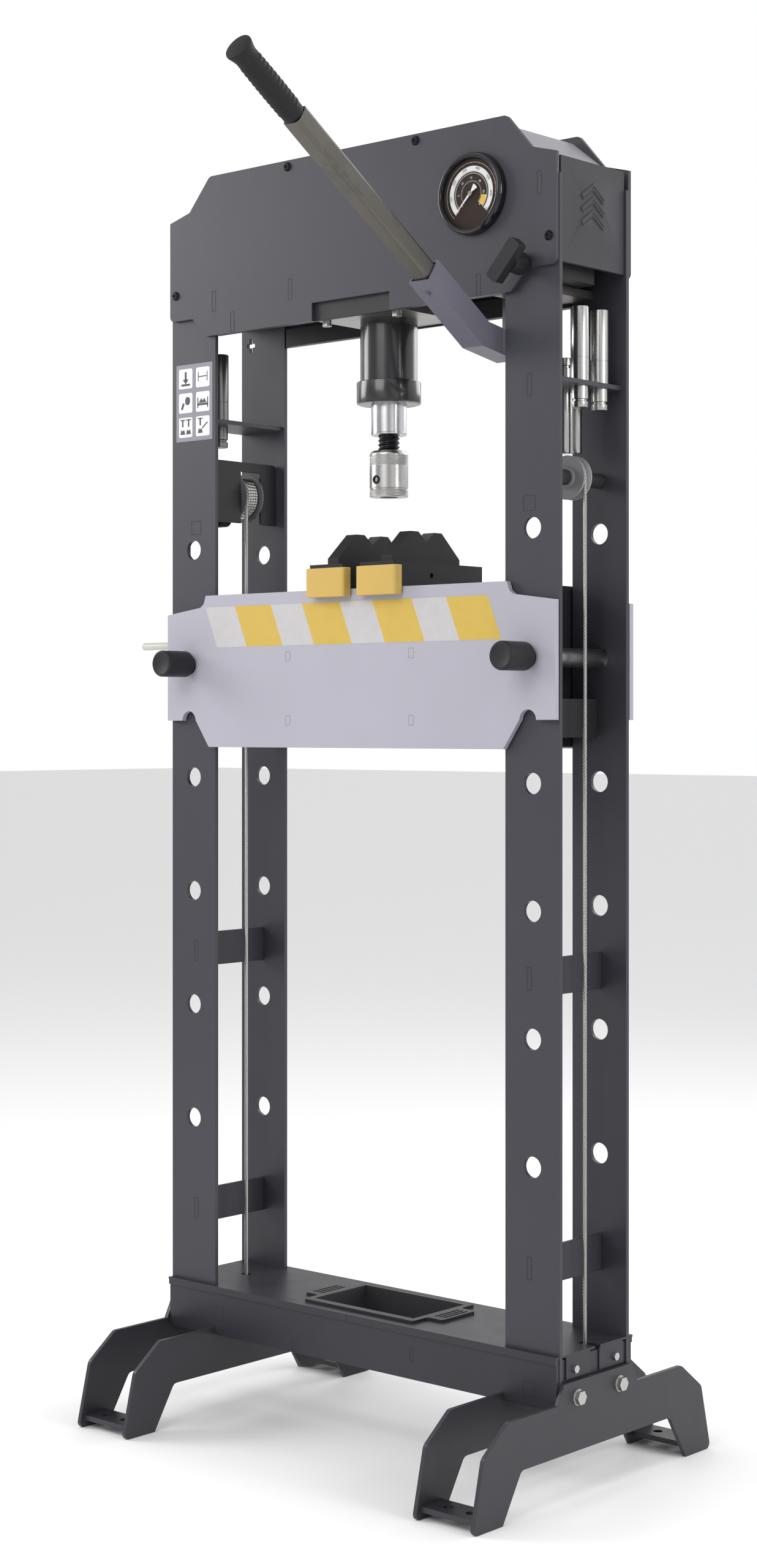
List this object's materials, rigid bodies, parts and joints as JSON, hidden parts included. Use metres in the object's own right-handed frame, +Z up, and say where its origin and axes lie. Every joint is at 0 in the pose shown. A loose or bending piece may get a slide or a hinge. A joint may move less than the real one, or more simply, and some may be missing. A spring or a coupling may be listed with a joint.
{
  "type": "hydraulic shop press",
  "caption": "Floor-standing H-frame hydraulic press: hand pump lever, gauge, sideways-sliding cylinder, height-adjustable table on pins, cable winch, press bars and splayed feet.",
  "frame": {"origin": "on the floor, at the centre of the anchor-hole pattern under the frame", "axes": "+X to the operator's right along the table, -Y towards the operator, +Z up the columns"},
  "size_m": [0.838, 0.8177, 1.8015],
  "materials": {
    "frame_paint": "satin",
    "base_paint": "satin",
    "table_paint": "satin",
    "cover_paint": "satin",
    "gloss_black": "gloss",
    "black_paint": "satin",
    "black_plastic": "matt",
    "black_oxide": "satin",
    "zinc": "satin",
    "bare_steel": "satin",
    "grey_paint": "satin",
    "chrome": "polished",
    "black_steel": "satin",
    "pin_steel": "satin",
    "yellow_cap": "matt",
    "rubber": "matt",
    "dial": "matt",
    "needle": "matt",
    "glass": "polished",
    "cable": "stranded",
    "white_plastic": "matt"
  },
  "bodies": {
    "frame": {"columns_front": "frame_paint", "columns_rear": "frame_paint", "column_braces": "frame_paint", "head_front_plate": "frame_paint", "head_rear_plate": "frame_paint", "head_guide_rails": "black_paint", "head_covers": "cover_paint", "head_screws": "black_oxide", "gauge_case": "black_plastic", "gauge_dial": "dial", "gauge_glass": "glass", "oil_reservoir": "black_paint", "pump_block": "bare_steel", "winch_bracket": "frame_paint", "hoist_cable": "cable", "pulley_axles": "zinc", "tool_racks": "black_paint", "base_plates": "base_paint", "base_cover": "base_paint", "base_bolts": "zinc", "foot_plates": "base_paint"},
    "side_cover": {"side_cover": "black_plastic"},
    "gauge_needle": {"gauge_needle": "needle"},
    "pump_plunger": {"pump_plunger": "chrome"},
    "lever": {"lever_socket": "grey_paint", "lever_rod": "bare_steel", "lever_grip": "rubber"},
    "release_knob": {"release_knob": "black_plastic"},
    "carriage": {"carriage": "black_paint", "flange_plate": "bare_steel", "carriage_bolts": "zinc", "cylinder_barrel": "gloss_black", "gland_collar": "gloss_black"},
    "ram": {"ram": "chrome"},
    "extension_screw": {"extension_screw": "black_steel"},
    "ram_adaptor": {"ram_adaptor": "chrome"},
    "table": {"table_front_plate": "table_paint", "table_rear_plate": "table_paint", "table_spacers": "table_paint", "table_end_plates": "black_paint", "cable_clamps": "zinc"},
    "locking_pin_left": {"locking_pin_left": "pin_steel"},
    "locking_pin_right": {"locking_pin_right": "pin_steel"},
    "press_bar_left": {"press_bar_left": "black_paint", "press_cap_left": "yellow_cap"},
    "press_bar_right": {"press_bar_right": "black_paint", "press_cap_right": "yellow_cap"},
    "winch_drum": {"winch_drum": "black_paint", "drum_winding": "cable"},
    "worm_crank": {"worm_crank": "black_paint"},
    "crank_handle": {"crank_handle": "white_plastic"},
    "top_wheel": {"top_wheel": "white_plastic"},
    "base_pulley_left": {"base_pulley_left": "white_plastic"},
    "base_pulley_right": {"base_pulley_right": "white_plastic"},
    "arbor_big_1": {"arbor_big_1": "chrome"},
    "arbor_big_2": {"arbor_big_2": "chrome"},
    "arbor_thin_1": {"arbor_thin_1": "chrome"},
    "arbor_thin_2": {"arbor_thin_2": "chrome"},
    "arbor_left": {"arbor_left": "bare_steel"},
    "drip_tray": {"drip_tray": "black_plastic"}
  },
  "joints": [
    {"name": "lever_pivot", "type": "hinge", "parent": "frame", "child": "lever", "pos_m": [0.24, -0.008, 1.484], "axis": [1, 0, 0], "range_deg": [-10, 45]},
    {"name": "plunger_slide", "type": "slide", "parent": "frame", "child": "pump_plunger", "axis": [0, 0, 1], "range_m": [-0.0048, 0.0214]},
    {"name": "release_turn", "type": "hinge", "parent": "frame", "child": "release_knob", "pos_m": [0.299, -0.1, 1.588], "axis": [0, 1, 0], "range_deg": [-60, 60]},
    {"name": "needle_turn", "type": "hinge", "parent": "frame", "child": "gauge_needle", "pos_m": [0.217, -0.089, 1.69], "axis": [0, 1, 0], "range_deg": [0, 270]},
    {"name": "cover_slide", "type": "slide", "parent": "frame", "child": "side_cover", "axis": [0, 0, 1], "range_m": [0, 0.12]},
    {"name": "carriage_slide", "type": "slide", "parent": "frame", "child": "carriage", "axis": [1, 0, 0], "range_m": [-0.1, 0.1]},
    {"name": "ram_slide", "type": "slide", "parent": "carriage", "child": "ram", "axis": [0, 0, -1], "range_m": [0, 0.074]},
    {"name": "screw_slide", "type": "slide", "parent": "ram", "child": "extension_screw", "axis": [0, 0, -1], "range_m": [0, 0.018]},
    {"name": "adaptor_turn", "type": "hinge", "parent": "extension_screw", "child": "ram_adaptor", "pos_m": [0, 0, 1.343], "axis": [0, 0, 1], "range_deg": [0, 1085]},
    {"name": "table_slide", "type": "slide", "parent": "frame", "child": "table", "axis": [0, 0, 1], "range_m": [0, 0.0024]},
    {"name": "pin_left_slide", "type": "slide", "parent": "frame", "child": "locking_pin_left", "axis": [0, -1, 0], "range_m": [0, 0.25]},
    {"name": "pin_right_slide", "type": "slide", "parent": "frame", "child": "locking_pin_right", "axis": [0, -1, 0], "range_m": [0, 0.25]},
    {"name": "bar_left_slide", "type": "slide", "parent": "table", "child": "press_bar_left", "axis": [1, 0, 0], "range_m": [-0.12, 0]},
    {"name": "bar_right_slide", "type": "slide", "parent": "table", "child": "press_bar_right", "axis": [1, 0, 0], "range_m": [0, 0.12]},
    {"name": "crank_turn", "type": "hinge", "parent": "frame", "child": "worm_crank", "pos_m": [-0.31, -0.021, 1.297], "axis": [-1, 0, 0], "range_deg": [0, 147.5]},
    {"name": "handle_spin", "type": "hinge", "parent": "worm_crank", "child": "crank_handle", "pos_m": [-0.428, -0.021, 1.112], "axis": [1, 0, 0], "continuous": true},
    {"name": "drum_turn", "type": "hinge", "parent": "frame", "child": "winch_drum", "pos_m": [-0.31, 0.006, 1.33], "axis": [0, -1, 0], "range_deg": [0, 4.95]},
    {"name": "top_wheel_turn", "type": "hinge", "parent": "frame", "child": "top_wheel", "pos_m": [0.309, 0.006, 1.318], "axis": [0, 1, 0], "range_deg": [0, 5.9]},
    {"name": "base_left_turn", "type": "hinge", "parent": "frame", "child": "base_pulley_left", "pos_m": [-0.2585, 0.006, 0.143], "axis": [0, 1, 0], "range_deg": [0, 5.9]},
    {"name": "base_right_turn", "type": "hinge", "parent": "frame", "child": "base_pulley_right", "pos_m": [0.309, 0.006, 0.143], "axis": [0, 1, 0], "range_deg": [0, 5.9]},
    {"name": "arbor_big_1_lift", "type": "slide", "parent": "frame", "child": "arbor_big_1", "axis": [0, 0, 1], "range_m": [0, 0.028]},
    {"name": "arbor_big_2_lift", "type": "slide", "parent": "frame", "child": "arbor_big_2", "axis": [0, 0, 1], "range_m": [0, 0.028]},
    {"name": "arbor_thin_1_lift", "type": "slide", "parent": "frame", "child": "arbor_thin_1", "axis": [0, 0, 1], "range_m": [0, 0.028]},
    {"name": "arbor_thin_2_lift", "type": "slide", "parent": "frame", "child": "arbor_thin_2", "axis": [0, 0, 1], "range_m": [0, 0.028]},
    {"name": "arbor_left_lift", "type": "slide", "parent": "frame", "child": "arbor_left", "axis": [0, 0, 1], "range_m": [0, 0.028]},
    {"name": "tray_lift", "type": "slide", "parent": "frame", "child": "drip_tray", "axis": [0, 0, 1], "range_m": [0, 0.25]}
  ],
  "couplings": [
    {"joint": "plunger_slide", "follows": "lever_pivot", "m_per_rad": 0.027},
    {"joint": "adaptor_turn", "follows": "screw_slide", "rad_per_m": 1047.2},
    {"joint": "crank_turn", "follows": "table_slide", "rad_per_m": 1071.4},
    {"joint": "drum_turn", "follows": "table_slide", "rad_per_m": 35.714},
    {"joint": "top_wheel_turn", "follows": "table_slide", "rad_per_m": 42.553},
    {"joint": "base_left_turn", "follows": "table_slide", "rad_per_m": 42.553},
    {"joint": "base_right_turn", "follows": "table_slide", "rad_per_m": 42.553}
  ]
}
